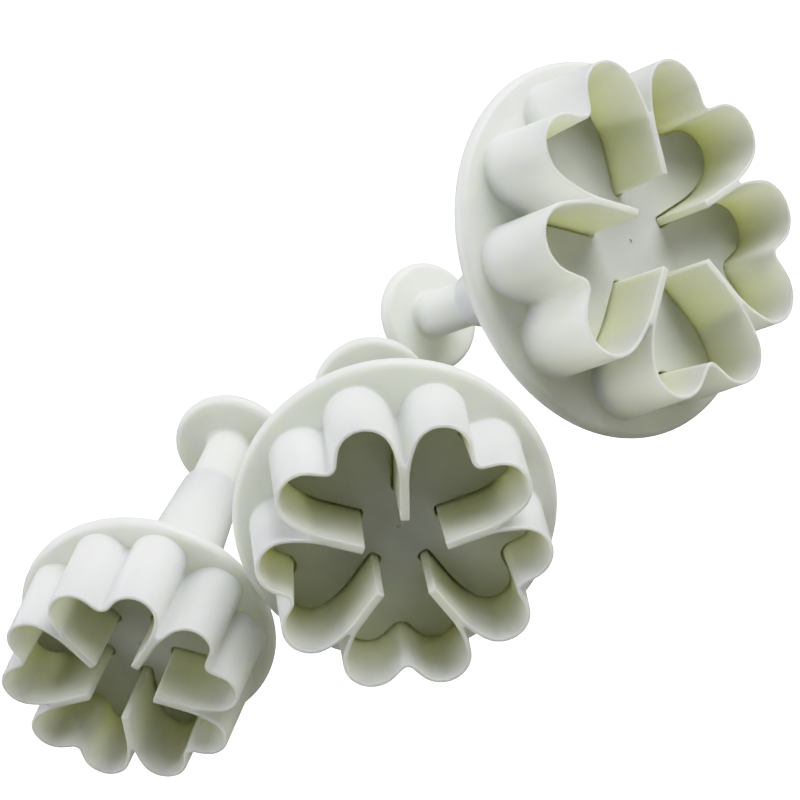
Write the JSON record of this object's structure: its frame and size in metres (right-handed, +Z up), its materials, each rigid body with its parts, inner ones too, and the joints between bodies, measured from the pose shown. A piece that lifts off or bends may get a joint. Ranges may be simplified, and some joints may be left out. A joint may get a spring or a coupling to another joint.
{
  "type": "plunger cutter set",
  "caption": "Graduated flower plunger cutters with flanged blade walls, sprung pressing plates and round thumb knobs, lying on their sides.",
  "frame": {"origin": "on the table, under the middle of the set's bounding box", "axes": "+Z up from the table; -Y towards the viewer of the picture, the way that the cutting edges mostly face; +X along the row, from the small cutter to the large one"},
  "size_m": [0.1376, 0.0908, 0.0567],
  "materials": {
    "shell_plastic": "satin gloss off-white moulded plastic",
    "plate_plastic": "satin off-white moulded plastic",
    "knob_plastic": "satin gloss off-white moulded plastic",
    "rod_plastic": "satin off-white moulded plastic",
    "spring_steel": "drawn steel wire"
  },
  "bodies": {
    "large_cutter": {"large_cutter_shell": "shell_plastic", "large_return_spring": "spring_steel"},
    "large_plunger": {"large_pressing_plate": "plate_plastic", "large_push_rod": "rod_plastic", "large_knob": "knob_plastic"},
    "medium_cutter": {"medium_cutter_shell": "shell_plastic", "medium_return_spring": "spring_steel"},
    "medium_plunger": {"medium_pressing_plate": "plate_plastic", "medium_push_rod": "rod_plastic", "medium_knob": "knob_plastic"},
    "small_cutter": {"small_cutter_shell": "shell_plastic", "small_return_spring": "spring_steel"},
    "small_plunger": {"small_pressing_plate": "plate_plastic", "small_push_rod": "rod_plastic", "small_knob": "knob_plastic"}
  },
  "joints": [
    {"name": "large_plunger_press", "type": "slide", "parent": "large_cutter", "child": "large_plunger", "axis": [0.5427, -0.7636, 0.3498], "range_m": [0, 0.0103], "stiffness_N_per_m": 300, "springref_m": -0.008, "deforming": ["large_return_spring"]},
    {"name": "medium_plunger_press", "type": "slide", "parent": "medium_cutter", "child": "medium_plunger", "axis": [-0.0797, -0.97, 0.2298], "range_m": [0, 0.0109], "stiffness_N_per_m": 300, "springref_m": -0.008, "deforming": ["medium_return_spring"]},
    {"name": "small_plunger_press", "type": "slide", "parent": "small_cutter", "child": "small_plunger", "axis": [-0.3309, -0.9294, 0.1636], "range_m": [0, 0.0104], "stiffness_N_per_m": 300, "springref_m": -0.008, "deforming": ["small_return_spring"]},
    {"name": "medium_cutter_lift", "type": "slide", "parent": "large_cutter", "child": "medium_cutter", "axis": [0, 0, 1], "range_m": [0, 0.06]},
    {"name": "small_cutter_lift", "type": "slide", "parent": "large_cutter", "child": "small_cutter", "axis": [0, 0, 1], "range_m": [0, 0.06]}
  ]
}
